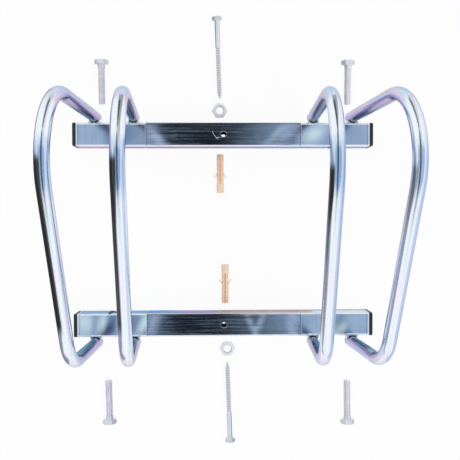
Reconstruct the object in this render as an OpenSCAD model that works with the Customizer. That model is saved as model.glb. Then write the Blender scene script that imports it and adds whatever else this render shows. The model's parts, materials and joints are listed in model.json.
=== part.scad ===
// Wheel rack for two bicycles, lying on the floor. Two parallel rails carry two pairs of
// bent tube hoops, and a wheel stands between the hoops of each pair. Each rail is a square
// connecting tube whose narrower ends slide into square sleeves of the same outer size. The
// screws, bolts, nuts and wall plugs of the kit lie loose on the floor around the rack.
// Origin: the middle of the rack on the floor. +X runs along the rails, +Y points to the
// rail with the tall legs, +Z is up.

/* [Rack] */
// Overall length over the end caps
rack_length = 412; // [380:1:520]
// Distance between the centre lines of the two rails
rail_spacing = 262; // [230:2:310]
// Height of the highest point of the hoops
rack_height = 260; // [240:2:300]

/* [Sleeves] */
// Outer width of the square rails, the same for sleeves and connecting tubes
rail_size = 32; // [28:1:34]
// Wall of the sleeves
sleeve_wall = 1.2; // [1:0.1:2]
// Outer radius of the sleeves' long edges
sleeve_corner_r = 2.5; // [2.4:0.1:5]
// Length of each sleeve
sleeve_length = 95; // [90:1:110]

/* [Connecting tubes] */
// Length of connecting tube inside each sleeve
tube_insertion = 61; // [56:1:68]
// Wall of the connecting tubes
tube_wall = 1.5; // [1:0.1:2]
// Outer radius of the long edges between the sleeves
tube_edge_r = 2; // [1.8:0.1:4]
// Length over which a connecting tube narrows towards the end that goes into a sleeve
tube_shoulder = 4; // [3:0.5:8]
// Gap all round between the narrow end of a connecting tube and its sleeve
tube_gap = 0.3; // [0.2:0.05:0.4]
// Gap at the seam between a sleeve and the shoulder of its connecting tube
seam_gap = 0.2; // [0.1:0.05:0.3]
// Hole for the lag screw in the middle of each connecting tube
screw_hole_d = 7.5; // [7.1:0.1:9]

/* [End caps] */
// Thickness of the part of an end cap that shows
cap_flange = 5; // [3:0.5:6]
// Bevel round the outer edge of an end cap
cap_bevel = 0.8; // [0.4:0.1:1.2]
// Depth of an end cap's plug inside the sleeve
cap_plug_depth = 12; // [8:1:16]
// Wall of the hollow plug
cap_plug_wall = 2; // [1.5:0.25:3]
// Gap between the plug and the sleeve
cap_gap = 0.1; // [0.05:0.05:0.3]

/* [Hoops] */
// Outer diameter of the hoop tube
hoop_d = 16; // [14:1:20]
// Wall of the hoop tube
hoop_wall = 1.5; // [1:0.25:3]
// Distance between the two hoops of a pair at floor level, centre to centre
hoop_spacing = 50; // [46:1:60]
// Distance from the end of the rack to the middle of a pair
pair_inset = 56; // [52:1:60]
// Lean of the left outer hoop away from the middle of its pair, in degrees
left_outer_lean_angle = 1.5; // [0:0.5:5]
// Lean of the left inner hoop away from the middle of its pair, in degrees
left_inner_lean_angle = 4; // [0:0.5:5]
// Lean of the right inner hoop away from the middle of its pair, in degrees
right_inner_lean_angle = 3; // [0:0.5:5]
// Lean of the right outer hoop away from the middle of its pair, in degrees
right_outer_lean_angle = 4.5; // [0:0.5:5]
// Radius of the large bend above the upper rail
large_bend_r = 78; // [60:2:90]
// Radius of the small bend above the lower rail
small_bend_r = 54; // [30:2:70]
// Fall of the straight run between the bends, in degrees
hoop_slope = 23.5; // [15:0.5:28]
// Height of the cut ends of the legs above the floor
leg_lift = 22; // [2:1:24]

/* [Welds] */
// Gap between a leg and its sleeve that the weld bridges
root_gap = 0.1; // [0.05:0.05:0.3]
// Radius of a weld bead
weld_r = 2.8; // [2:0.1:3.2]

/* [Clamp bolts] */
// Thread diameter
bolt_d = 10; // [8:1:10]
// Length under the head
bolt_length = 55; // [45:5:70]
// Width of the head across flats
bolt_flats = 17; // [13:1:17]
// Height of the head
bolt_head = 6.4; // [5:0.1:7]
// Thread pitch
bolt_pitch = 1.5; // [1.25:0.25:2]
// Play of the bolt in its clearance holes
bolt_play = 0.5; // [0.2:0.1:1]

/* [Lag screws] */
// Shank diameter
lag_d = 7; // [6:0.5:7]
// Length under the head
lag_length = 110; // [90:5:120]
// Width of the head across flats
lag_flats = 12; // [10:1:13]
// Height of the head
lag_head = 5; // [4:0.1:6]
// Length of the smooth shank
lag_shank = 37; // [25:1:45]
// Thread pitch
lag_pitch = 3.4; // [2.8:0.1:4]
// Length of the pointed tip
lag_tip = 8; // [6:0.5:12]

/* [Nuts] */
// Thread diameter
nut_d = 12; // [10:1:12]
// Width across flats
nut_flats = 19; // [17:1:19]
// Height
nut_height = 10; // [8:0.5:10]

/* [Wall plugs] */
// Outer diameter
plug_d = 10.4; // [9:0.2:12]
// Length
plug_length = 54; // [45:1:60]
// Bore for the screw
plug_bore_d = 5; // [4:0.5:6]
// Length of the plain collar
plug_collar = 12; // [8:1:15]
// Width of the slot that lets the plug spread
plug_slot = 1.4; // [1:0.1:2]
// Reach of the two fins on either side of the axis
plug_fin_reach = 9; // [7:0.5:11]

/* [Layout of the loose pieces] */
// Gap between the upper connecting tube and the nut that lies outside it
upper_nut_gap = 11.5; // [8:0.5:20]
// Gap between the lower connecting tube and the nut that lies outside it
lower_nut_gap = 13.5; // [8:0.5:20]
// Distance of a nut from the middle line of the rack
nut_offset = 5; // [0:1:10]
// Gap between the upper nut and the point of the lag screw
upper_lag_gap = 6; // [4:0.5:20]
// Gap between the lower nut and the point of the lag screw
lower_lag_gap = 8.5; // [4:0.5:20]
// Distance of the lag screws' heads from the middle line of the rack
lag_offset = 8.5; // [0:0.5:20]
// Turn of the lag screws on the floor, in degrees
lag_turn = 2; // [0:0.5:10]
// Gap between the upper connecting tube and the wall plug that lies inside it
upper_plug_gap = 9; // [8:0.5:20]
// Gap between the lower connecting tube and the wall plug that lies inside it
lower_plug_gap = 11; // [8:0.5:20]
// Distance of the upper wall plug from the middle line of the rack
upper_plug_offset = 4.5; // [0:0.5:10]
// Distance of the lower wall plug from the middle line of the rack
lower_plug_offset = 2; // [0:0.5:10]
// Gap between the outer faces of the legs and the points of the upper clamp bolts
upper_bolt_gap = 13; // [10:1:40]
// Gap between the outer face of the legs and the point of the lower left clamp bolt
lower_left_bolt_gap = 50; // [10:1:60]
// Gap between the outer face of the legs and the point of the lower right clamp bolt
lower_right_bolt_gap = 53; // [10:1:60]
// Distance of the upper left clamp bolt from the middle of its pair
upper_left_bolt_offset = 20; // [0:1:30]
// Distance of the lower left clamp bolt from the middle of its pair
lower_left_bolt_offset = 12; // [0:1:30]
// Distance of the right clamp bolts from the middle of their pair
right_bolt_offset = 26; // [0:1:30]
// Turn of the lower left clamp bolt on the floor, in degrees
lower_left_bolt_turn = 2; // [0:0.5:10]

/* [Hidden] */
$fn = 48;

left = -1;
right = 1;
lower = -1;
upper = 1;
sides = [-1, 1];

// One overrun serves every cut
overrun = 1;

// Rails: a sleeve runs from its seam on the connecting tube out to the end cap
rail_y = rail_spacing / 2;
rail_z = rail_size / 2;
sleeve_end_x = rack_length / 2 - cap_flange;
seam_x = sleeve_end_x - sleeve_length;
sleeve_inner_size = rail_size - 2 * sleeve_wall;
sleeve_inner_r = sleeve_corner_r - sleeve_wall;
tube_size = sleeve_inner_size - 2 * tube_gap;
tube_corner_r = sleeve_inner_r - tube_gap;
tube_inner_size = tube_size - 2 * tube_wall;
tube_inner_r_share = 0.4;
tube_inner_r = tube_corner_r * tube_inner_r_share;
tube_half_length = seam_x + tube_insertion;
tube_shoulder_x = seam_x - seam_gap;
tube_middle_inner_size = rail_size - 2 * tube_wall;
tube_middle_inner_r = tube_edge_r - tube_wall;
cap_plug_size = sleeve_inner_size - 2 * cap_gap;
cap_plug_r = sleeve_inner_r - cap_gap;
cap_plug_inner_r_share = 0.5;

// Hoops: all four are bent alike, and the most upright one reaches the full height. A leg
// stands against the outer face of each rail, and the bends and the straight run follow from
// the top height, the two radii and the slope
pair_x = rack_length / 2 - pair_inset;
least_lean_angle = min(left_outer_lean_angle, left_inner_lean_angle,
    right_inner_lean_angle, right_outer_lean_angle);
hoop_r = hoop_d / 2;
hoop_bore_r = hoop_r - hoop_wall;
leg_y = rail_y + rail_size / 2 + root_gap + hoop_r;
top_s = (rack_height - hoop_r) / cos(least_lean_angle);
large_centre_s = top_s - large_bend_r;
run_span = 2 * leg_y - large_bend_r - small_bend_r
    - (large_bend_r - small_bend_r) * sin(hoop_slope);
run_length = run_span / cos(hoop_slope);
small_centre_s = large_centre_s + (large_bend_r - small_bend_r) * cos(hoop_slope)
    - run_span * tan(hoop_slope);
run_start_y = leg_y - large_bend_r * (1 + sin(hoop_slope));
run_start_s = large_centre_s + large_bend_r * cos(hoop_slope);

bend_thinning_share = 0.04;
bend_thinning = hoop_wall * bend_thinning_share;
bend_lap_angle = 1.5;

// Welds: one bead over the sleeve's rounded edge and one down each side of the leg
weld_half_share = 0.75;
weld_half = hoop_r * weld_half_share;
weld_inset_share = 0.5;
weld_top_y = rail_y + rail_size / 2 - weld_r * weld_inset_share;
weld_top_z = rail_size - weld_r * weld_inset_share;
weld_side_share = 0.7;
weld_side_x = hoop_r * weld_side_share;
weld_out_share = 0.25;
weld_side_y = rail_y + rail_size / 2 + weld_r * weld_out_share;
weld_low_s = leg_lift + weld_r;

// Clamp bolt holes: clear through the outer wall and the connecting tube, and as wide as
// the thread's core in the inner wall
bolt_hole_d = bolt_d + bolt_play;
thread_depth_share = 0.54;
bolt_core_d = bolt_d - 2 * bolt_pitch * thread_depth_share;

// Hexagon heads and nuts
corner_share = 1 / cos(30);
chamfer_top_share = 0.95;
chamfer_angle = 30;
bolt_plain_share = 0.5;
bolt_ridges = floor((bolt_length - bolt_d * bolt_plain_share) / bolt_pitch);
lag_core_share = 0.72;
lag_ridges = floor((lag_length - lag_shank - lag_tip) / lag_pitch);
ridge_crest_share = 0.5;
nut_bore_share = 0.86;
nut_bore_d = nut_d * nut_bore_share;

// Loose bolts and screws lie on the edge of the head and on the last ridge of the thread
bolt_last_ridge = bolt_length - (1 - ridge_crest_share) * bolt_pitch;
lag_last_ridge = lag_shank + (lag_ridges - 1 + ridge_crest_share) * lag_pitch;
bolt_rest_angle = atan((bolt_flats - bolt_d) / 2 / bolt_last_ridge);
lag_rest_angle = atan((lag_flats - lag_d) / 2 / lag_last_ridge);

// Distances of the loose pieces from the middle of the rack: the middle of a nut, a lag
// screw under its head, the near end of a wall plug, and a bolt under its head
function nut_y(gap) = rail_y + rail_size / 2 + gap + nut_flats / 2;
function lag_y(nut_gap, gap) = nut_y(nut_gap) + nut_flats / 2 + gap + lag_length;
function plug_y(gap) = rail_y - rail_size / 2 - gap - plug_length;
function bolt_y(gap) = leg_y + hoop_r + gap + bolt_length;

// Wall plugs
plug_r = plug_d / 2;
plug_tooth_share = 0.86;
plug_teeth = 6;
plug_tip_share = 0.8;
plug_fin_share = 0.62;
plug_fin_thick = plug_slot;
plug_fin_width_share = 0.33;
plug_fin_width = plug_d * plug_fin_width_share;
plug_fin_angle = 35;
plug_fin_start = plug_bore_d / 2 + plug_fin_thick / 2;

zinc = "lightsteelblue";
bright_zinc = "lavender";
tube_grey = "slategray";
weld_grey = "gainsboro";
bolt_grey = "silver";
cap_black = "#1b1b1d";
plug_tan = "burlywood";

// Mirrors what is drawn for the right upper quarter into one of the four quarters
module quarter(side_x, side_y) {
    mirror([side_x < 0 ? 1 : 0, 0, 0]) mirror([0, side_y < 0 ? 1 : 0, 0]) children();
}

// A square with rounded corners, centred
module rounded_square(size, r) {
    square([size - 2 * r, size], center = true);
    square([size, size - 2 * r], center = true);
    for (x = sides, y = sides)
        translate([x * (size / 2 - r), y * (size / 2 - r)]) circle(r = r);
}

// A square bar with rounded edges that runs along +X from the origin
module square_bar(length, size, r) {
    rotate([90, 0, 90]) linear_extrude(length) rounded_square(size, r);
}

// A square tube with rounded edges that runs along +X from the origin
module square_tube(length, size, r, inner_size, inner_r) {
    rotate([90, 0, 90]) linear_extrude(length) difference() {
        rounded_square(size, r);
        rounded_square(inner_size, inner_r);
    }
}

// A square bar with rounded edges that reaches as far along -X as along +X
module middle_bar(half_length, size, r) {
    translate([-half_length, 0, 0]) square_bar(2 * half_length, size, r);
}

// A hole that runs along +Y from the middle of a rail, at the middle of a pair
module hole_outward(d) {
    translate([pair_x, rail_y, rail_z]) rotate([-90, 0, 0])
        cylinder(d = d, h = rail_size / 2 + overrun);
}

// A hole that runs along -Y from the middle of a rail, at the middle of a pair
module hole_inward(d) {
    translate([pair_x, rail_y, rail_z]) rotate([90, 0, 0])
        cylinder(d = d, h = rail_size / 2 + overrun);
}

// Full size between the sleeves, with a shoulder before each narrower end
module connecting_tube(side_y) {
    color(tube_grey) quarter(right, side_y) difference() {
        translate([0, rail_y, rail_z]) {
            middle_bar(tube_shoulder_x, rail_size, tube_edge_r);
            middle_bar(tube_half_length, tube_size, tube_corner_r);
        }
        translate([0, rail_y, rail_z]) {
            middle_bar(tube_shoulder_x - tube_shoulder, tube_middle_inner_size,
                tube_middle_inner_r);
            middle_bar(tube_half_length + overrun, tube_inner_size, tube_inner_r);
        }
        translate([0, rail_y, -overrun])
            cylinder(d = screw_hole_d, h = rail_size + 2 * overrun);
        for (side_x = sides) mirror([side_x < 0 ? 1 : 0, 0, 0]) {
            hole_outward(bolt_hole_d);
            hole_inward(bolt_hole_d);
        }
    }
}

module sleeve(side_x, side_y) {
    color(zinc) quarter(side_x, side_y) difference() {
        translate([seam_x, rail_y, rail_z])
            square_tube(sleeve_length, rail_size, sleeve_corner_r,
                sleeve_inner_size, sleeve_inner_r);
        hole_outward(bolt_hole_d);
        hole_inward(bolt_core_d);
    }
}

module end_cap(side_x, side_y) {
    color(cap_black) quarter(side_x, side_y) translate([sleeve_end_x, rail_y, rail_z]) {
        square_bar(cap_flange - cap_bevel, rail_size, sleeve_corner_r);
        translate([cap_flange - cap_bevel, 0, 0]) cap_crown();
        translate([-cap_plug_depth, 0, 0])
            square_tube(cap_plug_depth, cap_plug_size, cap_plug_r,
                cap_plug_size - 2 * cap_plug_wall, cap_plug_r * cap_plug_inner_r_share);
    }
}

// The bevelled outer layer of an end cap
module cap_crown() {
    crown_share = (rail_size - 2 * cap_bevel) / rail_size;
    rotate([90, 0, 90]) linear_extrude(cap_bevel, scale = crown_share)
        rounded_square(rail_size, sleeve_corner_r);
}

// A round bar bent to the shape of a hoop, upright in the YZ plane
module hoop_bar(r, foot_s) {
    translate([0, leg_y, foot_s]) cylinder(r = r, h = large_centre_s - foot_s);
    translate([0, leg_y - large_bend_r, large_centre_s])
        bend(r, large_bend_r, 0, 90 + hoop_slope);
    translate([0, run_start_y, run_start_s]) rotate([90 + hoop_slope, 0, 0])
        cylinder(r = r, h = run_length);
    translate([0, small_bend_r - leg_y, small_centre_s])
        bend(r, small_bend_r, 90 + hoop_slope, 90 - hoop_slope);
    translate([0, -leg_y, foot_s]) cylinder(r = r, h = small_centre_s - foot_s);
}

// A bend in the YZ plane about the origin, turning from +Y towards +Z. The tube is drawn
// slightly thinner there, and its ends lie a little way inside the straight tube
module bend(r, bend_r, start_angle, turn_angle) {
    rotate([90, 0, 90]) rotate([0, 0, start_angle - bend_lap_angle])
        rotate_extrude(angle = turn_angle + 2 * bend_lap_angle)
            translate([bend_r, 0]) circle(r = r - bend_thinning);
}

// side_out is 1 for the outer hoop of a pair and -1 for the inner one
function lean_angle(side_x, side_out) = side_x < 0
    ? (side_out > 0 ? left_outer_lean_angle : left_inner_lean_angle)
    : (side_out > 0 ? right_outer_lean_angle : right_inner_lean_angle);

// Stands what is drawn in the YZ plane at a hoop's feet and leans it
module at_hoop(side_x, side_out) {
    translate([pair_x + side_out * hoop_spacing / 2, 0, 0])
        rotate([0, side_out * lean_angle(side_x, side_out), 0]) children();
}

module hoop(side_x, side_out) {
    color(bright_zinc) quarter(side_x, upper) at_hoop(side_x, side_out) difference() {
        hoop_bar(hoop_r, leg_lift);
        hoop_bar(hoop_bore_r, leg_lift - overrun);
    }
}

// A bar with round ends that runs along +Z from the origin
module round_ended_bar(r, length) {
    cylinder(r = r, h = length);
    for (z = [0, length]) translate([0, 0, z]) sphere(r = r);
}

// The weld between one leg and its sleeve
module weld(side_x, side_out) {
    foot_x = pair_x
        + side_out * (hoop_spacing / 2 + rail_size * tan(lean_angle(side_x, side_out)));
    difference() {
        union() {
            translate([foot_x - weld_half, weld_top_y, weld_top_z]) rotate([0, 90, 0])
                round_ended_bar(weld_r, 2 * weld_half);
            at_hoop(side_x, side_out) for (x = sides)
                translate([x * weld_side_x, weld_side_y, weld_low_s])
                    round_ended_bar(weld_r, weld_top_z - weld_low_s);
        }
        translate([seam_x, rail_y, rail_z])
            square_bar(sleeve_length, rail_size, sleeve_corner_r);
        at_hoop(side_x, side_out) translate([0, leg_y, 0])
            cylinder(r = hoop_r, h = 2 * rail_size);
    }
}

module welds(side_x, side_y) {
    color(weld_grey) quarter(side_x, side_y) for (side_out = sides) weld(side_x, side_out);
}

// A hexagon prism along +Z with its top corners chamfered
module hexagon(flats, height) {
    top_r = flats / 2 * chamfer_top_share;
    intersection() {
        cylinder(d = flats * corner_share, h = height, $fn = 6);
        cylinder(r1 = top_r + height / tan(chamfer_angle), r2 = top_r, h = height);
    }
}

// Ridges of a thread along -Z from the origin, as a profile to turn about Z
function ridge_points(count, pitch, outer_r, core_r) = [
    for (i = [0 : count - 1], p = [[core_r, i], [outer_r, i + ridge_crest_share]])
        [p[0], -p[1] * pitch]
];

// A clamp bolt with its head above the origin and its thread along -Z
module bolt() {
    core_r = bolt_core_d / 2;
    thread_start = bolt_length - bolt_ridges * bolt_pitch;
    hexagon(bolt_flats, bolt_head);
    translate([0, 0, -thread_start]) cylinder(r = bolt_d / 2, h = thread_start);
    rotate_extrude() polygon(concat(
        [[0, -thread_start]],
        [for (p = ridge_points(bolt_ridges, bolt_pitch, bolt_d / 2, core_r))
            [p[0], p[1] - thread_start]],
        [[core_r, -bolt_length], [0, -bolt_length]]));
}

// A lag screw with its head above the origin and its point along -Z
module lag_screw() {
    core_r = lag_d / 2 * lag_core_share;
    ridges_length = lag_ridges * lag_pitch;
    hexagon(lag_flats, lag_head);
    translate([0, 0, -lag_shank]) cylinder(r = lag_d / 2, h = lag_shank);
    rotate_extrude() polygon(concat(
        [[0, -lag_shank]],
        [for (p = ridge_points(lag_ridges, lag_pitch, lag_d / 2, core_r))
            [p[0], p[1] - lag_shank]],
        [[core_r, -lag_shank - ridges_length], [0, -lag_length]]));
}

module hexagon_nut() {
    difference() {
        intersection() {
            hexagon(nut_flats, nut_height);
            translate([0, 0, nut_height]) mirror([0, 0, 1]) hexagon(nut_flats, nut_height);
        }
        translate([0, 0, -overrun]) cylinder(d = nut_bore_d, h = nut_height + 2 * overrun);
    }
}

// A wall plug with its collar's mouth at the origin and its tip along +Z
module wall_plug() {
    toothed = plug_length - plug_collar;
    tooth = toothed / plug_teeth;
    tooth_r = plug_r * plug_tooth_share;
    difference() {
        union() {
            cylinder(r = plug_r, h = plug_collar);
            translate([0, 0, plug_collar]) rotate_extrude() polygon(concat(
                [[0, 0]],
                [for (i = [0 : plug_teeth - 1], p = [[plug_r, i], [tooth_r, i + 1]])
                    [p[0], p[1] * tooth]],
                [[0, toothed]]));
            for (x = sides) translate([0, 0, plug_length * plug_fin_share]) wall_plug_fin(x);
        }
        translate([0, 0, -overrun])
            cylinder(d = plug_bore_d, h = plug_length * plug_tip_share + overrun);
        translate([-plug_slot / 2, -plug_r - overrun, plug_collar])
            cube([plug_slot, 2 * (plug_r + overrun), toothed + overrun]);
    }
}

// A fin that slopes out from the plug towards the collar, on the side x
module wall_plug_fin(x) {
    fin_length = plug_fin_reach / sin(plug_fin_angle);
    mirror([x < 0 ? 1 : 0, 0, 0]) intersection() {
        rotate([0, 180 - plug_fin_angle, 0])
            translate([-plug_fin_thick / 2, -plug_fin_width / 2, 0])
                cube([plug_fin_thick, plug_fin_width, fin_length]);
        translate([plug_fin_start, -plug_r, -plug_length])
            cube([plug_fin_reach - plug_fin_start, plug_d, 2 * plug_length]);
    }
}

// Lays a bolt or screw with its head towards +Y and its thread along -Y, on the edge of its
// head and the last ridge of its thread. That edge of the head is at the origin
module lay_down(flats, rest_angle) {
    translate([0, 0, flats / 2 * cos(rest_angle)]) rotate([rest_angle - 90, 0, 0])
        children();
}

module loose_bolt(side_x, side_y, offset, gap, turn) {
    color(bolt_grey) quarter(side_x, side_y)
        translate([pair_x + offset, bolt_y(gap), 0]) rotate([0, 0, turn])
            lay_down(bolt_flats, bolt_rest_angle) bolt();
}

module loose_lag_screw(side_y, nut_gap, gap) {
    color(bolt_grey) rotate([0, 0, side_y < 0 ? 180 : 0])
        translate([-lag_offset, lag_y(nut_gap, gap), 0]) rotate([0, 0, lag_turn])
            lay_down(lag_flats, lag_rest_angle) lag_screw();
}

module loose_nut(side_y, gap) {
    color(bolt_grey) rotate([0, 0, side_y < 0 ? 180 : 0])
        translate([-nut_offset, nut_y(gap), 0]) hexagon_nut();
}

module loose_wall_plug(side_y, offset, gap) {
    color(plug_tan) rotate([0, 0, side_y < 0 ? 180 : 0])
        translate([-offset, plug_y(gap), plug_r]) rotate([-90, 0, 0]) wall_plug();
}

connecting_tube(upper);  // upper_connecting_tube
connecting_tube(lower);  // lower_connecting_tube
sleeve(left, upper);  // left_upper_sleeve
sleeve(left, lower);  // left_lower_sleeve
sleeve(right, upper);  // right_upper_sleeve
sleeve(right, lower);  // right_lower_sleeve
end_cap(left, upper);  // left_upper_end_cap
end_cap(left, lower);  // left_lower_end_cap
end_cap(right, upper);  // right_upper_end_cap
end_cap(right, lower);  // right_lower_end_cap
hoop(left, 1);  // left_outer_hoop
hoop(left, -1);  // left_inner_hoop
hoop(right, -1);  // right_inner_hoop
hoop(right, 1);  // right_outer_hoop
welds(left, upper);  // left_upper_welds
welds(left, lower);  // left_lower_welds
welds(right, upper);  // right_upper_welds
welds(right, lower);  // right_lower_welds
loose_bolt(left, upper, upper_left_bolt_offset, upper_bolt_gap, 0);  // left_upper_bolt
loose_bolt(left, lower, lower_left_bolt_offset, lower_left_bolt_gap, lower_left_bolt_turn);  // left_lower_bolt
loose_bolt(right, upper, right_bolt_offset, upper_bolt_gap, 0);  // right_upper_bolt
loose_bolt(right, lower, right_bolt_offset, lower_right_bolt_gap, 0);  // right_lower_bolt
loose_lag_screw(upper, upper_nut_gap, upper_lag_gap);  // upper_lag_screw
loose_lag_screw(lower, lower_nut_gap, lower_lag_gap);  // lower_lag_screw
loose_nut(upper, upper_nut_gap);  // upper_nut
loose_nut(lower, lower_nut_gap);  // lower_nut
loose_wall_plug(upper, upper_plug_offset, upper_plug_gap);  // upper_wall_plug
loose_wall_plug(lower, lower_plug_offset, lower_plug_gap);  // lower_wall_plug
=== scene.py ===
"""Looks of a floor rack for two bicycle wheels, built around its packed model.

Every length is in metres, in the frame of the packed model: +X along the rails, +Y across
them towards the rail with the taller legs, +Z up from the floor.
"""
import json
import math

import bmesh
import bpy
import numpy as np
from mathutils import Euler, Matrix, Vector


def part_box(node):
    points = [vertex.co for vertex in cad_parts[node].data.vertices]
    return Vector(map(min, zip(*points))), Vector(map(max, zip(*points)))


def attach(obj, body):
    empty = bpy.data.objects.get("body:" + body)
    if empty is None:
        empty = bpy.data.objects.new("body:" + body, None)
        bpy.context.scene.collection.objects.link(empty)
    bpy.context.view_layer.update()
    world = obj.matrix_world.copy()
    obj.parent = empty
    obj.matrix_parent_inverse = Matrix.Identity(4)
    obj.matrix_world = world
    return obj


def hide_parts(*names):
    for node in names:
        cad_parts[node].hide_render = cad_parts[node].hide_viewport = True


bl_info = {
    "name": "Bicycle wheel rack",
    "version": (1, 0, 0),
    "blender": (4, 5, 0),
    "location": "3D View > Sidebar > Wheel rack",
    "description": "Builds a wheel rack's tubes, welds, fasteners, finishes and studio",
    "category": "Object",
}

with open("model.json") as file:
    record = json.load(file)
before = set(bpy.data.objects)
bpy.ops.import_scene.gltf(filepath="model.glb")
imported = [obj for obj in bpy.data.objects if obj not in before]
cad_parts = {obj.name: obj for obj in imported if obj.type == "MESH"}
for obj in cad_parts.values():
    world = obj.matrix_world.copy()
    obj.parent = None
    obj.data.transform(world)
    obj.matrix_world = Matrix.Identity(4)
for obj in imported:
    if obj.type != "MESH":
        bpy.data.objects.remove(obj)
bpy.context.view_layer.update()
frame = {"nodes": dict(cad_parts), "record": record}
MM = 0.001

LEFT, RIGHT = -1, 1
OUTER, INNER = 1, -1
HOOPS = {
    "left_outer_hoop": (LEFT, OUTER),
    "left_inner_hoop": (LEFT, INNER),
    "right_inner_hoop": (RIGHT, INNER),
    "right_outer_hoop": (RIGHT, OUTER),
}


# ---- Shader maths ----

class Wire:
    """A shader socket that can stand in an arithmetic expression."""

    def __init__(self, finish, socket):
        self.finish = finish
        self.socket = socket

    def _math(self, operation, first, second):
        return self.finish.node(
            "ShaderNodeMath", {"operation": operation}, {0: first, 1: second})

    def __add__(self, other):
        return self._math("ADD", self, other)

    __radd__ = __add__

    def __sub__(self, other):
        return self._math("SUBTRACT", self, other)

    def __rsub__(self, other):
        return self._math("SUBTRACT", other, self)

    def __mul__(self, other):
        return self._math("MULTIPLY", self, other)

    __rmul__ = __mul__

    def __abs__(self):
        return self._math("ABSOLUTE", self, 0.0)


def shade(colour):
    """An opaque colour, from its numbers or from the name of a colour setting."""
    if isinstance(colour, str):
        colour = getattr(bpy.context.scene.rack_colours, colour)
    return (*colour, 1.0)


class Finish:
    """A material, or the world, whose nodes are made from expressions."""

    def __init__(self, owner):
        owner.use_nodes = True
        self.tree = owner.node_tree
        self.tree.nodes.clear()

    def node(self, kind, settings=None, sockets=None, output=0):
        """Adds a node. Settings come first, then the values or links of its sockets."""
        made = self.tree.nodes.new(kind)
        for name, value in (settings or {}).items():
            if name == "stops":
                ramp = made.color_ramp
                while len(ramp.elements) < len(value):
                    ramp.elements.new(1.0)
                for element, (place, colour) in zip(ramp.elements, value):
                    element.position = place
                    element.color = shade(colour)
            else:
                setattr(made, name, value)
        for key, value in (sockets or {}).items():
            socket = made.inputs[key]
            if isinstance(value, Wire):
                self.tree.links.new(value.socket, socket)
            elif socket.type == "RGBA":
                socket.default_value = shade(value)
            else:
                socket.default_value = value
        if output is None:
            return made
        return Wire(self, made.outputs[output])

    def place(self):
        """The point on the piece, in metres in the rack's frame at rest."""
        return self.node("ShaderNodeTexCoord", output="Object")

    def parts(self, vector):
        """The three numbers of a vector."""
        split = self.node("ShaderNodeSeparateXYZ", sockets={0: vector}, output=None)
        return [Wire(self, out) for out in split.outputs]

    def noise(self, vector, scale, detail=3.0, roughness=0.55, distortion=0.0):
        """Soft noise from 0 to 1, mostly near a half. The scale may be one for each way."""
        if isinstance(scale, tuple):
            vector = self.node("ShaderNodeVectorMath", {"operation": "MULTIPLY"},
                               {0: vector, 1: scale})
            scale = 1.0
        return self.node("ShaderNodeTexNoise", {"noise_dimensions": "3D"},
                         {"Vector": vector, "Scale": scale, "Detail": detail,
                          "Roughness": roughness, "Distortion": distortion})

    def smooth(self, value, low, high, to_low=0.0, to_high=1.0):
        """A number eased from one level to another between two limits."""
        return self.node("ShaderNodeMapRange", {"interpolation_type": "SMOOTHSTEP"},
                         {"Value": value, "From Min": low, "From Max": high,
                          "To Min": to_low, "To Max": to_high})

    def mark(self, name):
        """A number that the mesh carries at its points."""
        return self.node("ShaderNodeAttribute", {"attribute_name": name}, output="Fac")

    def distance(self, first, second):
        """The length of a step that goes so far one way and so far across it."""
        step = self.node("ShaderNodeCombineXYZ", sockets={0: first, 1: second})
        return self.node("ShaderNodeVectorMath", {"operation": "LENGTH"}, {0: step},
                         output="Value")

    def ramp(self, value, stops):
        """A colour that runs through stops of (place, colour) as a number grows."""
        return self.node("ShaderNodeValToRGB", {"stops": stops}, {"Fac": value},
                         output="Color")

    def mix(self, share, first, second):
        """Two colours, mixed by a share from 0 to 1."""
        return self.node("ShaderNodeMix", {"data_type": "RGBA"},
                         {0: share, 6: first, 7: second}, output=2)

    def coats(self, colour, *coats):
        """A colour with others laid over it in turn.

        A coat is (share, colour), or (value, low, high, most, colour) where its share
        grows from none to the most as the value goes from low to high.
        """
        for *share, over in coats:
            if len(share) > 1:
                value, low, high, most = share
                share = [self.smooth(value, low, high, 0.0, most)]
            colour = self.mix(share[0], colour, over)
        return colour

    def bump(self, height, distance, strength, under=None):
        """A normal that follows a height from 0 to 1, worth a distance, over another."""
        sockets = {"Height": height, "Distance": distance, "Strength": strength}
        if under is not None:
            sockets["Normal"] = under
        return self.node("ShaderNodeBump", sockets=sockets)

    def seen(self):
        """1 where the camera looks, straight on, in a gloss or through glass, else 0."""
        path = self.node("ShaderNodeLightPath", output=None)
        camera, glossy, through = [
            Wire(self, path.outputs[name])
            for name in ("Is Camera Ray", "Is Glossy Ray", "Is Transmission Ray")]
        return camera + glossy + through

    def glow(self, colour):
        """A plain glow of a colour."""
        return self.node("ShaderNodeEmission", sockets={"Color": colour})

    def show(self, shader, owner="Material"):
        """Ends in the output of a material or the world."""
        self.node("ShaderNodeOutput" + owner, sockets={"Surface": shader}, output=None)

    def surface(self, **sockets):
        """The principled shader and the output. Underscores stand for spaces."""
        named = {key.replace("_", " "): value for key, value in sockets.items()}
        self.show(self.node("ShaderNodeBsdfPrincipled", sockets=named))


def new_finish(name):
    """A new material and the expressions that build it."""
    material = bpy.data.materials.new(name)
    return material, Finish(material)


# ---- Finishes ----
# Limits on x, y and z are places in metres. Those on noise, marks and shares have no unit.

MIDDLE = 10.0 * MM  # how far each way the halves of the rack run into each other
RAIL_SPECULAR = 0.15  # low, so that what isn't metal on the rails stays dull
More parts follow.
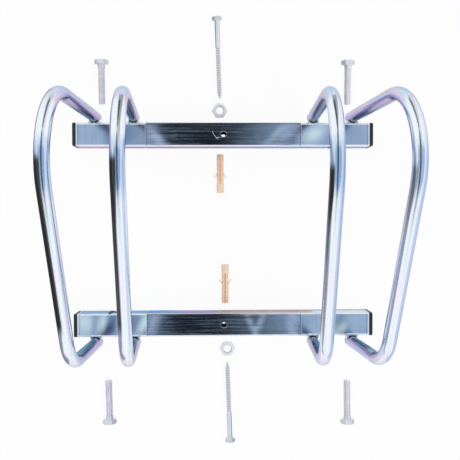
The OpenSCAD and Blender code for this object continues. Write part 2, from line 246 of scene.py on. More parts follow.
# Patches on the rails: painted shade, painted glare highlights, and the branch of a
# scratch, each (x, y, half length, half width, slant)
SLEEVE_SHADES = (
    (-0.130, -0.129, 0.016, 0.030, 0.2), (-0.138, 0.131, 0.024, 0.030, 0.3),
    (-0.179, -0.131, 0.005, 0.024, 0.1), (-0.152, -0.131, 0.006, 0.024, 0.1))
SLEEVE_GLARE = (
    (-0.166, -0.126, 0.008, 0.022, 0.2), (-0.192, -0.128, 0.020, 0.026, 0.0),
    (-0.110, -0.130, 0.010, 0.026, 0.4), (0.163, -0.137, 0.010, 0.013, 0.2),
    (0.125, 0.132, 0.020, 0.018, 0.6))
TUBE_GLARE = (
    (-0.086, 0.121, 0.013, 0.014, -0.7), (-0.098, 0.134, 0.014, 0.022, -0.6),
    (-0.098, -0.131, 0.012, 0.028, 0.5), (0.092, 0.134, 0.014, 0.03, 0.9),
    (0.072, 0.131, 0.010, 0.026, 0.9), (0.037, -0.130, 0.007, 0.026, -0.4),
    (0.049, -0.130, 0.007, 0.026, 0.4), (0.098, -0.130, 0.014, 0.03, 0.0))
SCRATCH_BRANCH = ((-0.007, 0.1265, 0.004, 0.0011, 0.0),)
PATCH_EDGE = 1.25  # where a patch has faded out, in its half sizes


def hoop_zinc(foot_z):
    """Bright zinc on drawn round tube: lines along it, a pale rainbow film, and painted
    shade and reflections: dark flanks, a dark streak on the top bend, darker legs and a
    dark gap at each foot.
    """
    material, f = new_finish("bright_zinc_tube")
    along, flank, crown = [f.mark(name) for name in ("along", "flank", "crown")]
    place = f.place()
    x, y, z = f.parts(place)
    skin = f.node("ShaderNodeCombineXYZ", sockets={0: along, 1: flank, 2: crown})
    lines = f.noise(skin, (6.0, 20.0, 20.0), detail=5.0, roughness=0.6)
    wide = f.noise(skin, (10.0, 3.0, 3.0), distortion=0.3)
    cloud = f.noise(skin, (16.0, 1.2, 1.2), detail=2.0)
    speck = f.noise(place, 900.0, detail=2.0)

    # Where the camera sees a flank: -1 at the left outline, 0 in the middle, 1 at the right
    across = flank + crown * x * 1.6
    rightward = f.smooth(x, 0.0, 0.1)
    far_right = f.smooth(x, 0.14, 0.18)
    rainbow = f.ramp(wide * 0.7 + cloud * 0.3 - rightward * 0.05, (
        (0.36, "apex_blue"), (0.45, "apex_cyan"), (0.53, "apex_pink"),
        (0.58, "apex_violet"), (0.64, "apex_cyan")))
    apex = f.smooth(y + (cloud - 0.5) * 0.02, 0.136, 0.150)
    # Painted reflection at the outlines, in the film's colours
    rim = f.smooth(abs(across) + (cloud - 0.5) * 0.3, 0.78, 0.95)
    on_leg = f.smooth(crown, 0.75, 0.45) * f.smooth(abs(y - 2.0 * MM), 0.128, 0.14)
    # Painted dark reflection: a streak along the top bend, broader towards the apex
    broad = f.smooth(y, 0.1, 0.142, 0.1, 0.3)
    strip = f.smooth(abs(across - 0.12 + (wide - 0.5) * 0.1) - broad, 0.04, -0.08) \
        * f.smooth(y, 0.086, 0.1) * f.smooth(y, 0.147, 0.142) \
        * f.smooth(abs(x), 0.145, 0.165, 0.85, 0.3)
    # Painted shade on a band below the top bend
    bend = f.smooth(y, 0.105, 0.09) * f.smooth(y, 0.03, 0.055)

    # Painted shade: the left flank is dark below the top bend, most of all on the hoops to
    # the left
    below = f.smooth(y + (wide - 0.5) * 0.02 + rightward * 9.0 * MM, 0.083, 0.072)
    lower = f.smooth(y, 0.05, -0.005) * rightward
    inner_left = f.smooth(x, -0.16, -0.14) * f.smooth(x, 0.0, -0.1) * f.smooth(y, 0.06, 0.0)
    flank_shade_place = across + (lines - 0.5) * 0.3 + lower * 0.28 + inner_left * 0.2
    strength = 1.0 - lower * 0.27 - far_right * 0.42 - inner_left * 0.14 \
        - f.smooth(y, -0.01, -0.05) * rightward * 0.25 \
        - f.smooth(y, 0.03, -0.09) * f.smooth(x, -0.16, -0.1) * 0.12
    flank_shade = f.smooth(flank_shade_place, -0.2, -0.4) * f.smooth(y, -0.12, -0.1) * below \
        * f.smooth(strength, 0.0, 1.0)

    # Painted reflections: the legs' inner sides mirror the dark studio, in bands round the
    # tube
    facing_out = f.smooth(x, -MIDDLE, MIDDLE, -1.0, 1.0)
    turned = 0.5 - flank * facing_out * 0.5 + (wide - 0.5) * 0.45
    bands = f.ramp(turned, (
        (0.0, "leg_violet"), (0.13, "leg_blue"), (0.3, "leg_navy"),
        (0.42, "leg_slate"), (0.53, "leg_bright"), (0.66, "leg_mauve"),
        (0.82, "leg_pink"), (1.0, "leg_violet")))
    teal = f.smooth(y, 0.0, -0.1) * f.smooth(abs(turned - 0.5), 0.4, 0.3)
    leg = f.coats(
        bands,
        (lines, 0.5, 0.7, 0.4, "leg_slate"),
        (teal * 0.5, "leg_teal"),
        (lines, 0.42, 0.34, 0.5, "leg_navy"))
    # Painted shade in the gap where a foot meets its sleeve
    foot_gap_shade = f.smooth(z, foot_z + 5.5 * MM, foot_z + 4.5 * MM) \
        * f.smooth(crown, -0.55, -0.7) * f.smooth(z, foot_z - 1.0 * MM, foot_z)

    film = f.coats(
        "zinc_blue",
        (cloud, 0.42, 0.62, 1.0, "zinc_lavender"),
        (wide, 0.56, 0.7, 0.45, "zinc_cyan"),
        (wide, 0.44, 0.32, 0.4, "zinc_pink"),
        (lines, 0.55, 0.75, 0.25, "zinc_grey"),
        # painted shade along the tube's outlines
        (abs(flank), 0.8, 1.0, 0.3, "zinc_shade"),
        (apex * 0.8, rainbow),
        # painted reflection at the outlines
        (rim * 0.55, rainbow),
        # painted highlights on the legs, in the film's colours
        (on_leg * 0.7, rainbow),
        (on_leg * f.smooth(cloud, 0.5, 0.6) * 0.6, "leg_peach"),
        (on_leg * f.smooth(lines, 0.55, 0.65) * 0.5, "leg_mauve"),
        # painted dark reflection along the top bend
        (strip, "apex_shade"),
        # painted shade below the top bend, and on the right flanks of the hoops to the
        # right
        (bend * (0.6 - far_right * 0.4), "bend_shade"),
        (f.smooth(across, 0.3, 0.6) * rightward * 0.2, "bend_shade"),
        # painted shade on the left flanks
        (flank_shade, "zinc_dark"),
        # painted reflections of the dark studio on the legs
        (crown + (wide - 0.5) * 0.3, 0.25, -0.15, 0.9, leg),
        # painted shade in the gap at the foot
        (foot_gap_shade, "crevice"))
    rough = 0.12 + lines * 0.12 + f.smooth(speck, 0.55, 0.75) * 0.05 + foot_gap_shade * 0.3
    f.surface(Base_Color=film, Metallic=1.0, Roughness=rough,
              Normal=f.bump(lines * 0.7 + speck * 0.2, 0.04 * MM, 0.5),
              Specular_Tint=(0.72, 0.74, 0.8))
    return material


def patches(f, x, y, table):
    """Soft slanting patches on a rail: 1 in their middles, and 0 outside."""
    total = 0.0
    for patch_x, patch_y, long, wide, slant in table:
        across = x - patch_x - (y - patch_y) * slant
        near = f.distance(across * (1.0 / long), (y - patch_y) * (1.0 / wide))
        total = f.smooth(near, PATCH_EDGE, 0.0) + total
    return total


def inner_side(f, x, y, z):
    """The inner sides of the rails: their film, with painted reflections that change with
    height and place, and white bands that are painted highlights.
    """
    right = f.smooth(x, -0.03, 0.01)
    foot = f.mix(right, "side_mist", "side_sand")
    brow = f.mix(right, "side_mauve", "side_peach")
    far = f.smooth(x, 0.118, 0.13)
    lower_rail = f.coats(
        "side_cyan",
        (x, -0.09, -0.05, 1.0, f.mix(f.smooth(z, 8.0 * MM, 16.0 * MM), foot, brow)),
        (z, 24.0 * MM, 29.0 * MM, 0.7, "sleeve_pale"),
        (far * f.smooth(z, 8.0 * MM, 12.0 * MM), "zinc_white"),
        (far * f.smooth(z, 12.0 * MM, 8.0 * MM), "side_cyan"))
    upper_rail = f.coats(
        "side_mauve",
        (x, -0.02, 0.04, 1.0, "side_blue"),
        (x, -0.14, -0.17, 1.0, "side_pink"),
        (z, 21.0 * MM, 26.0 * MM, 1.0, "zinc_white"))
    return f.mix(f.smooth(y, -MIDDLE, MIDDLE), lower_rail, upper_rail)


def sleeve_zinc(rail_y, half, seam_x, end_x, hole_x):
    """Blue zinc on square tube: a smooth face, faint streaks, painted shade and glare
    patches, and painted highlights on the edges and rims.
    """
    material, f = new_finish("blue_zinc_sleeve")
    place = f.place()
    x, y, z = f.parts(place)
    inward, reach = rail_y - abs(y), abs(x)
    cloud = f.noise(place, 16.0, detail=2.0, distortion=0.3)
    cross = f.noise(place, (700.0, 9.0, 9.0), roughness=0.6)
    lengthwise = f.noise(place, (12.0, 420.0, 420.0))
    speck = f.noise(place, 1100.0, detail=2.0)
    # Painted shade patches and painted glare highlights
    shades, spots = [patches(f, x, y, table) for table in (SLEEVE_SHADES, SLEEVE_GLARE)]
    # Painted highlights on the rounded long edges
    outer = f.smooth(inward, 3.4 * MM - half, 2.7 * MM - half)
    edge = f.smooth(inward, half - 1.9 * MM, half - 1.3 * MM) + outer
    inner = f.smooth(inward, half - 0.9 * MM, half - 0.4 * MM)
    # Painted shade near the bolt holes in the inner sides
    lower_left = f.smooth(x, MIDDLE, -MIDDLE) * f.smooth(y, MIDDLE, -MIDDLE)
    to_hole = f.distance((reach - hole_x - lower_left * 7.0 * MM) * 5.0, z - half)
    # Painted highlights on the cut ends
    rim = f.smooth(reach, end_x - 2.2 * MM, end_x - 1.2 * MM) \
        + f.smooth(reach, seam_x + 1.4 * MM, seam_x + 0.6 * MM)
    to_groove = abs(reach - (end_x - 3.2 * MM))
    film = f.coats(
        "sleeve_deep",
        (cloud, 0.3, 0.66, 1.0, "sleeve_blue"),
        (cross, 0.48, 0.7, 0.2, "sleeve_pale"),
        (cross, 0.48, 0.32, 0.14, "sleeve_shade"),
        (lengthwise, 0.5, 0.75, 0.18, "zinc_grey"),
        # painted shade patches
        (shades * 0.75, "sleeve_shade"),
        # painted glare highlights
        (spots * 0.95, "sleeve_glare"),
        # painted highlights on the long edges
        (edge * 0.9, "zinc_white"),
        (inner * 0.9, inner_side(f, x, y, z)),
        # painted shade near the bolt holes
        (f.smooth(to_hole, 17.0 * MM, 15.5 * MM) * inner, "crevice"),
        # painted highlights on the cut ends
        (rim * 0.6, "sleeve_pale"),
        (to_groove, 0.7 * MM, 0.2 * MM, 0.55, "leg_slate"))
    rough = 0.1 + cross * 0.08 + f.smooth(cloud, 0.4, 0.7) * 0.05 + inner * 0.4
    fine = f.bump(cross * 0.4 + lengthwise * 0.3 + speck * 0.3, 0.025 * MM, 0.5)
    rolled = f.smooth(reach, end_x - 2.0 * MM, end_x, 1.0, 0.0) \
        * f.smooth(reach, seam_x + 1.2 * MM, seam_x, 1.0, 0.0)
    f.surface(Base_Color=film, Roughness=rough, Normal=f.bump(rolled, 0.4 * MM, 0.8, fine),
              Metallic=1.0 - inner * 0.9 - outer * 0.8 - spots * 0.7,
              Specular_IOR_Level=RAIL_SPECULAR)
    return material


def connecting_zinc(rail_y, half, seam_x):
    """Darker zinc on drawn square tube: long fine lines, pale clouds, a scratch, painted
    glare highlights, painted highlights and shade on the edges, and painted shade where it
    goes into a sleeve.
    """
    material, f = new_finish("dark_zinc_connecting_tube")
    place = f.place()
    x, y, z = f.parts(place)
    inward, reach = rail_y - abs(y), abs(x)
    long_lines = f.noise(place, (9.0, 620.0, 620.0), detail=4.0, roughness=0.8)
    wide_lines = f.noise(place, (9.0, 210.0, 210.0))
    cloud = f.noise(place, 24.0, distortion=0.4)
    speck = f.noise(place, 700.0, roughness=0.7)
    # Painted glare highlights, broken by the long lines
    spots = patches(f, x, y, TUBE_GLARE) * (0.6 + f.smooth(long_lines, 0.4, 0.6) * 0.4)

    # A curved scratch beside the screw hole, with a short branch
    to_arc = f.distance(x - 6.0 * MM, y - rail_y - 10.5 * MM) - 21.9 * MM
    scratch = f.smooth(abs(to_arc + (cloud - 0.5) * MM), 0.55 * MM, 0.15 * MM) \
        * f.smooth(abs(y - rail_y + 1.5 * MM), 6.5 * MM, 4.5 * MM) \
        * f.smooth(x, -3.0 * MM, -6.0 * MM) \
        + patches(f, x, y, SCRATCH_BRANCH) * 0.8
    hole_rim = f.smooth(abs(f.distance(x, inward) - 4.4 * MM), 0.75 * MM, 0.3 * MM)

    upper = f.smooth(y, -MIDDLE, MIDDLE)
    # Painted highlights and painted shade along the long edges: the outer edge is white on
    # the lower rail and dark on the upper; the inner edge is white on the upper rail and
    # the right half, and dark elsewhere
    outer_edge = f.smooth(inward, 2.9 * MM - half, 2.2 * MM - half)
    pale_inside = f.smooth(upper + f.smooth(x, -0.01, 0.05), 0.0, 1.0)
    inner = f.smooth(inward, half - 0.7 * MM, half - 0.3 * MM)
    film = f.coats(
        "tube_dark",
        (cloud, 0.38, 0.64, 1.0, "tube_grey"),
        (x, -0.01, 0.05, 0.45, "tube_pale"),
        # painted glare highlights
        (spots * 0.9, "tube_glare"),
        (long_lines, 0.5, 0.64, 0.6, "tube_pale"),
        (wide_lines, 0.53, 0.68, 0.5, "tube_dark"),
        (speck, 0.62, 0.74, 0.5, "sleeve_pale"),
        (reach, seam_x - 24.0 * MM, seam_x - 8.0 * MM, 0.5, "sleeve_blue"),
        (scratch * 0.9, "scratch"),
        (hole_rim * f.smooth(speck, 0.3, 0.7) * 0.6, "sleeve_pale"),
        # painted highlight on the lower rail's outer edge, painted shade on the upper's
        (outer_edge, f.mix(upper, "zinc_white", "tube_dark")),
        # painted highlights and painted shade along the inner edges
        (inward, half - 2.0 * MM, half - 1.4 * MM, 1.0,
         f.mix(pale_inside, "tube_dark", "zinc_white")),
        (inner * 0.95, inner_side(f, x, y, z)),
        # painted shade where the tube goes into the sleeve
        (reach, seam_x - 1.4 * MM, seam_x - 0.5 * MM, 0.85, "tube_dark"))
    rough = 0.07 + f.smooth(long_lines, 0.4, 0.7) * 0.16 + cloud * 0.03 + inner * 0.4
    metal = 1.0 - inner * 0.9 - outer_edge * (1.0 - upper) * 0.7 \
        - spots * 0.35 - scratch * 0.8 - hole_rim * 0.2 \
        - f.smooth(speck, 0.62, 0.74) * 0.4 - f.smooth(long_lines, 0.5, 0.66) * 0.12
    height = long_lines * 0.6 + wide_lines * 0.3 + speck * 0.1
    f.surface(Base_Color=film, Metallic=metal, Roughness=rough,
              Normal=f.bump(height, 0.04 * MM, 0.5), Specular_IOR_Level=RAIL_SPECULAR)
    return material


def weld_zinc():
    """Plated weld bead, duller than the tube, with a straw tint in its hollows."""
    material, f = new_finish("zinc_weld_bead")
    place = f.place()
    cloud = f.noise(place, 220.0)
    speck = f.noise(place, 1500.0, detail=2.0)
    film = f.coats(
        "weld_pale",
        (cloud, 0.4, 0.65, 1.0, "sleeve_pale"),
        (f.mark("ripple"), 0.45, 0.0, 0.5, "weld_straw"),
        (speck, 0.66, 0.8, 0.4, "zinc_dark"))
    f.surface(Base_Color=film, Metallic=1.0, Roughness=0.24 + cloud * 0.22,
              Normal=f.bump(cloud * 0.5 + speck * 0.5, 0.12 * MM, 0.7))
    return material


def cap_plastic():
    """Moulded black plastic with a fine grain and slightly rubbed edges."""
    material, f = new_finish("black_cap_plastic")
    place = f.place()
    grain = f.node("ShaderNodeTexVoronoi", {"feature": "F1"},
                   {"Vector": place, "Scale": 1600.0}, output="Distance")
    cloud = f.noise(place, 90.0, detail=4.0)
    scuff = f.noise(place, (60.0, 500.0, 140.0), detail=4.0, roughness=0.7)
    film = f.coats(
        "cap_black",
        (cloud, 0.35, 0.7, 1.0, "cap_grey"),
        (scuff, 0.62, 0.8, 0.5, "cap_scuff"))
    f.surface(Base_Color=film, Roughness=0.42 + cloud * 0.16,
              Normal=f.bump(grain * 0.6 + cloud * 0.4, 0.08 * MM, 0.6))
    return material


def fastener_zinc():
    """Pale zinc on rolled threads and cold-headed steel, with painted shade down in the
    grooves and on the flanks, and painted light on the nuts' tops.
    """
    material, f = new_finish("fastener_zinc")
    place = f.place()
    groove = f.mark("groove")
    cloud = f.noise(place, 120.0, detail=4.0)
    speck = f.noise(place, 1300.0)
    x, y, _ = f.parts(place)
    turn_x, _, turn_z = f.parts(f.node("ShaderNodeTexCoord", output="Normal"))
    middle = f.smooth(abs(x), 60.0 * MM, 45.0 * MM)
    nut = middle * f.smooth(abs(y), 185.0 * MM, 178.0 * MM)
    # Painted shade down in the grooves, most on the flanks
    in_groove = groove * (middle * 0.2 + 0.3) \
        * f.smooth(abs(turn_x) + middle, 0.2, 0.6, 0.2, 1.0)
    # Painted shade darkens the flanks, one more than the other. The pieces below the rack
    # lie turned by half a turn, and so does their darker flank
    flank = turn_x * f.smooth(y, -MIDDLE, MIDDLE, 1.0, -1.0)
    plain = 1.0 - middle * f.smooth(groove, 0.0, 0.4) * 0.8
    film = f.coats(
        "fastener_pale",
        (cloud, 0.38, 0.65, 1.0, "fastener_grey"),
        (middle * 0.5, "fastener_cyan"),
        # painted shade in the grooves
        (in_groove, "fastener_dark"),
        # painted shade on the flanks
        (f.smooth(flank, 0.4, 0.65) * (middle * 0.2 + 0.75) * plain, "fastener_dark"),
        (flank, -0.5, -0.8, 0.45, "fastener_dark"),
        # painted light on the nuts' upward faces
        (nut * f.smooth(turn_z, 0.5, 0.8), "nut_pale"),
        (speck, 0.62, 0.8, 0.1, "fastener_dark"))
    f.surface(Base_Color=film, Metallic=0.42 + cloud * 0.1 - nut * 0.3,
              Roughness=0.22 + cloud * 0.14 + groove * 0.1,
              Normal=f.bump(cloud * 0.4 + speck * 0.6, 0.03 * MM, 0.5))
    return material


def plug_nylon():
    """Moulded nylon: slightly waxy, with flow clouds and a fine skin."""
    material, f = new_finish("beige_plug_nylon")
    place = f.place()
    cloud = f.noise(place, (90.0, 40.0, 90.0), distortion=0.6)
    skin = f.noise(place, 900.0)
    film = f.coats(
        "plug_tan",
        (cloud, 0.35, 0.66, 1.0, "plug_rose"),
        # painted shade in the hollows
        (f.mark("hollow"), "plug_ochre"))
    f.surface(Base_Color=film, Roughness=0.42 + skin * 0.14,
              Normal=f.bump(cloud * 0.3 + skin * 0.7, 0.05 * MM, 0.5),
              Subsurface_Weight=0.12, Subsurface_Radius=(0.003, 0.002, 0.001))
    return material


# ---- Meshes ----

MERGE_GAP = 0.002 * MM  # points nearer than this become one
THREAD_GAP = 0.0004 * MM  # the same, within a thread
SHARP_EDGE = math.radians(32.0)
BEND_STEP = 2.5  # degrees between the rings of a bend
BEND_FLAT, BEND_BULGE = 0.02, 0.004  # what bending does to the round of a tube
HEX_SIDES, WASHER_SIDES, SHANK_SIDES, THREAD_SIDES = 72, 48, 40, 32
HEX_CROWN = 0.95  # flat end of a hexagon, as a share of its flats
HEX_SLOPE = math.tan(math.radians(24.0))
WASHER_FACE = 0.46  # radius of a washer face, as a share of the head's flats
BORE_FLARE = 0.6 * MM
NUT_CORE, LAG_CORE = 0.86, 0.7  # cores of the threads, as shares of their radius
# Threads as (share of the pitch, share of the depth)
METRIC_PROFILE = ((0.0, 0.0), (0.12, 0.05), (0.44, 0.95), (0.56, 0.95), (0.88, 0.05))
WOOD_PROFILE = ((0.0, 0.0), (0.2, 0.0), (0.42, 1.0), (0.66, 1.0), (0.86, 0.0))


def link(name, data):
    """Puts data in the scene as an object."""
    obj = bpy.data.objects.new(name, data)
    bpy.context.scene.collection.objects.link(obj)
    return obj


def body_of(node):
    """The body that carries a node."""
    for body, nodes in frame["record"]["behaviour"]["bodies"].items():
        if node in nodes:
            return body
    raise KeyError(node)


def dress(name, mesh, node, material):
    """Makes a mesh the piece that stands for a node, with its finish."""
    obj = link(name, mesh)
    mesh.materials.clear()
    mesh.materials.append(material)
    mesh.shade_smooth()
    mesh.set_sharp_from_angle(angle=SHARP_EDGE)
    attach(obj, body_of(node))
    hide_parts(node)


def piece(name, bm, node, material):
    """Turns a mesh in the making into a piece that stands for a node."""
    bmesh.ops.remove_doubles(bm, verts=bm.verts, dist=MERGE_GAP)
    bmesh.ops.recalc_face_normals(bm, faces=bm.faces)
    mesh = bpy.data.meshes.new(name)
    bm.to_mesh(mesh)
    bm.free()
    dress(name, mesh, node, material)


def on_circle(radius, turn, centre=(0.0, 0.0)):
    """A point on a circle, in its plane."""
    return centre[0] + radius * math.cos(turn), centre[1] + radius * math.sin(turn)


def ring_faces(bm, rings, closed=True):
    """Joins closed rings of points, each to the next, and closes both ends if asked."""
    for low, high in zip(rings, rings[1:]):
        count = len(low)
        for i in range(count):
            j = (i + 1) % count
            bm.faces.new((low[i], low[j], high[j], high[i]))
    if closed:
        bm.faces.new(rings[0])
        bm.faces.new(rings[-1])


def hoop_centre_line(sizes, leg_y):
    """Points of a hoop's centre line in its own plane, from one foot to the other.

    Each is (y, s, outward y, outward s, distance along, share of bending).
    """
    top_s = (sizes.rack_height - sizes.tube_diameter / 2) / math.cos(min(sizes.lean))
    big, small, slope = sizes.large_bend, sizes.small_bend, sizes.slope
    big_s = top_s - big
    span = 2 * leg_y - big - small - (big - small) * math.sin(slope)
    small_s = big_s + (big - small) * math.cos(slope) - span * math.tan(slope)
    points = []

    def add(y, s, turn, bend):
        step = math.dist((y, s), points[-1][:2]) if points else 0.0
        along = (points[-1][4] if points else 0.0) + step
        points.append((y, s, *on_circle(1.0, turn), along, bend))

    def straight(start, end, turn):
        count = max(2, round(math.dist(start, end) / sizes.ring_step))
        for i in range(count):
            t = i / count
            add(start[0] + (end[0] - start[0]) * t, start[1] + (end[1] - start[1]) * t,
                turn, 0.0)

    def arc(centre, bend_r, start, sweep):
        count = round(math.degrees(sweep) / BEND_STEP)
        for i in range(count):
            t = i / count
            turn = start + sweep * t
            add(*on_circle(bend_r, turn, centre), turn, math.sin(math.pi * t) ** 0.5)

    upright = math.pi / 2
    run_turn = upright + slope
    big_centre, small_centre = (leg_y - big, big_s), (small - leg_y, small_s)
    straight((leg_y, sizes.leg_lift), (leg_y, big_s), 0.0)
    arc(big_centre, big, 0.0, run_turn)
    straight(on_circle(big, run_turn, big_centre), on_circle(small, run_turn, small_centre),
             run_turn)
    arc(small_centre, small, run_turn, upright - slope)
    straight((-leg_y, small_s), (-leg_y, sizes.leg_lift), math.pi)
    add(-leg_y, sizes.leg_lift, math.pi, 0.0)
    return points


def build_hoop(node, sizes, material):
    """One bent tube with open feet, as a swept mesh that knows its own lengths."""
    side, out = HOOPS[node]
    radius = sizes.tube_diameter / 2
    line = hoop_centre_line(sizes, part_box(node)[1].y - radius)
    lean = sizes.lean[list(HOOPS).index(node)] * out
    foot_x = sizes.pair_centre + out * sizes.hoop_spacing / 2
    bm = bmesh.new()
    layers = [bm.verts.layers.float.new(key) for key in ("along", "flank", "crown")]

    def ring(point, tube_r, lift=0.0):
        y, s, out_y, out_s, along, bend = point
        verts = []
        for i in range(sizes.tube_sides):
            crown, flank = on_circle(1.0, 2 * math.pi * i / sizes.tube_sides)
            depth = tube_r * crown * (1.0 - BEND_FLAT * bend)
            across = tube_r * flank * (1.0 + BEND_BULGE * bend)
            high = s + depth * out_s + lift
            vert = bm.verts.new((
                side * (foot_x + across * math.cos(lean) + high * math.sin(lean)),
                y + depth * out_y, high * math.cos(lean) - across * math.sin(lean)))
            for layer, value in zip(layers, (along, flank * side, crown)):
                vert[layer] = value
            verts.append(vert)
        return verts

    inner_r = radius - sizes.tube_wall
    chamfer = sizes.foot_chamfer
    foot = ((inner_r, sizes.foot_depth), (inner_r, chamfer), (inner_r + chamfer, 0.0),
            (radius - chamfer, 0.0), (radius, chamfer))
    ring_faces(bm, [*(ring(line[0], *step) for step in foot),
                    *(ring(point, radius) for point in line[1:-1]),
                    *(ring(line[-1], *step) for step in reversed(foot))])
    piece(node + "_tube", bm, node, material)


def vectors(items, key):
    """A vector of each item of a mesh, in rows."""
    flat = np.zeros(len(items) * 3, np.float32)
    items.foreach_get(key, flat)
    return flat.reshape(-1, 3)


def remade(node, name, grain, easing=0):
    """A node's shape as a mesh of fine cells, eased by a number of passes."""
    obj = link(name, frame["nodes"][node].data.copy())
    remesh = obj.modifiers.new("fine", "REMESH")
    remesh.mode = "VOXEL"
    remesh.voxel_size = grain
    if easing:
        ease = obj.modifiers.new("rounded", "SMOOTH")
        ease.factor = 0.5
        ease.iterations = easing
    graph = bpy.context.evaluated_depsgraph_get()
    mesh = bpy.data.meshes.new_from_object(obj.evaluated_get(graph))
    bpy.data.objects.remove(obj)
    return mesh


def reshape(mesh, points, mark, values):
    """Moves a mesh's points and gives them a number that the finish reads."""
    mesh.vertices.foreach_set("co", points.ravel())
    layer = mesh.attributes.new(mark, "FLOAT", "POINT")
    layer.data.foreach_set("value", values.astype(np.float32))
    mesh.update()


def build_weld(node, sizes, material):
    """The bead of a leg, remade as a fine mesh with the ripples of a hand weld."""
    name = node + "_beads"
    mesh = remade(node, name, sizes.weld_grain)
    points = vectors(mesh.vertices, "co")
    normals = vectors(mesh.vertex_normals, "vector")
    rail_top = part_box("right_upper_sleeve")[1].z
    # 1 where the bead runs over the leg's top corner, and 0 where it runs down its side
    top = np.clip((points[:, 2] - rail_top + 6.0 * MM) / (4.0 * MM), 0.0, 1.0)
    outward = np.abs(points[:, 1])
    travel = top * points[:, 0] + (1.0 - top) * points[:, 2]
    bow = (outward - outward.mean()) ** 2 * sizes.weld_bow
    unsteady = 0.8 * np.sin(travel * 900.0)
    wave = np.sin(2 * np.pi * travel / sizes.weld_ripple + bow + unsteady)
    height = 0.5 + 0.5 * wave
    points += normals * ((height - 0.6) * sizes.weld_height)[:, None]
    reshape(mesh, points, "ripple", height)
    dress(name, mesh, node, material)


def fade(value, full, none):
    """1 up to one limit and 0 past another, or the other way round."""
    return np.clip((none - value) / (none - full), 0.0, 1.0)


def build_wall_plug(node, sizes, material):
    """A wall plug with the rounded edges of a moulding, and painted shade that darkens its
    slot, bore and the valleys between its teeth.
    """
    name = node + "_moulding"
    mesh = remade(node, name, sizes.plug_grain, easing=2)
    low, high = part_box(node)
    axis_x, axis_z = (low.x + high.x) / 2, sizes.plug_diameter / 2
    points = vectors(mesh.vertices, "co")
    off_axis = points[:, 0] - axis_x
    closing = fade(np.abs(off_axis), 0.6 * MM, 1.6 * MM)
    off_axis = off_axis * (1.0 - sizes.slot_squeeze * closing)
    points[:, 0] = axis_x + off_axis
    across = np.abs(off_axis)
    around = np.hypot(off_axis, points[:, 2] - axis_z)
    collar_y = high.y if lies_turned(node) else low.y
    from_collar = np.abs(points[:, 1] - collar_y) - sizes.plug_collar
    toothed = fade(from_collar, 0.5 * MM, 0.0)
    in_slot = fade(across, 0.9 * MM, 1.3 * MM) * toothed
    valley = fade(around, axis_z - 0.75 * MM, axis_z - 0.25 * MM) * toothed \
        * fade(across, 3.5 * MM, 2.5 * MM)
    in_bore = fade(around, 2.6 * MM, 3.4 * MM)
    deep = fade(around, 3.9 * MM, 4.8 * MM)
    # A mark for painted shade in the bore, the valleys, the slot and deep inside
    reshape(mesh, points, "hollow",
            np.maximum.reduce([in_bore, valley * 0.6, in_slot, deep * 0.2]))
    dress(name, mesh, node, material)


def lathe(bm, outline, sides=SHANK_SIDES):
    """Turns an outline of (radius, z) about Z. Its ends are closed."""
    ring_faces(bm, [[bm.verts.new((*on_circle(r, 2 * math.pi * i / sides), z))
                     for i in range(sides)] for r, z in outline])


def hexagon_lathe(bm, flats, low, high, hole_r=0.0):
    """A hexagon prism along Z. Cones cut the corners on top, and on both ends of a nut."""
    crown_r = flats / 2 * HEX_CROWN
    columns = []
    for i in range(HEX_SIDES):
        turn = 2 * math.pi * i / HEX_SIDES
        off = (turn + math.pi / 6) % (math.pi / 3) - math.pi / 6
        reach = flats / 2 / math.cos(off + (math.pi / 6 if off < 0 else -math.pi / 6))
        cut = (reach - crown_r) * HEX_SLOPE
        column = [(crown_r, low), (reach, low + (cut if hole_r else 0.0)),
                  (reach, high - cut), (crown_r, high)]
        if hole_r:
            wide_r = hole_r + BORE_FLARE
            column = [(hole_r, low + BORE_FLARE), (wide_r, low), *column,
                      (wide_r, high), (hole_r, high - BORE_FLARE)]
        columns.append([bm.verts.new((*on_circle(r, turn), z)) for r, z in column])
    rings = [list(ring) for ring in zip(*columns)]
    if hole_r:
        rings.append(rings[0])
    ring_faces(bm, rings, closed=not hole_r)


def thread(bm, start, end, pitch, profile, reach_at, closed=True):
    """A helical thread along Z from start up to end, with its ends closed if asked.

    A profile lists (share of the pitch, share of the depth), and reach_at gives the root
    and crest radius at a height.
    """
    groove = bm.verts.layers.float.get("groove")
    sides = THREAD_SIDES
    rows = []
    for turn in range(-1, math.ceil((end - start) / pitch) + 1):
        for share, depth in profile:
            row = []
            for i in range(sides):
                z = start + (turn + share + i / sides) * pitch
                held = min(max(z, start), end)
                root, crest = reach_at(held)
                r = root + (crest - root) * depth if held == z else root
                vert = bm.verts.new((*on_circle(r, 2 * math.pi * i / sides), held))
                vert[groove] = 1.0 - depth
                row.append(vert)
            rows.append(row)
    count = len(profile)
    for k in range(len(rows) - 1):
        for i in range(sides - 1):
            bm.faces.new((rows[k][i], rows[k][i + 1], rows[k + 1][i + 1], rows[k + 1][i]))
        if k + 1 + count < len(rows):
            bm.faces.new((rows[k][-1], rows[k + count][0],
                          rows[k + 1 + count][0], rows[k + 1][-1]))
    bmesh.ops.remove_doubles(bm, verts=bm.verts, dist=THREAD_GAP)
    bmesh.ops.dissolve_degenerate(bm, dist=THREAD_GAP, edges=bm.edges)
    if closed:
        open_edges = [e for e in bm.edges if e.is_boundary]
        bmesh.ops.holes_fill(bm, edges=open_edges, sides=0)


def new_mesh():
    """An empty mesh in the making, with the mark for grooves."""
    bm = bmesh.new()
    bm.verts.layers.float.new("groove")
    return bm


def lies_turned(node):
    """Whether a loose piece lies below the rack, turned by half a turn."""
    return "lower" in node


def clamped(value):
    """A number kept from 0 to 1."""
    return min(1.0, max(0.0, value))


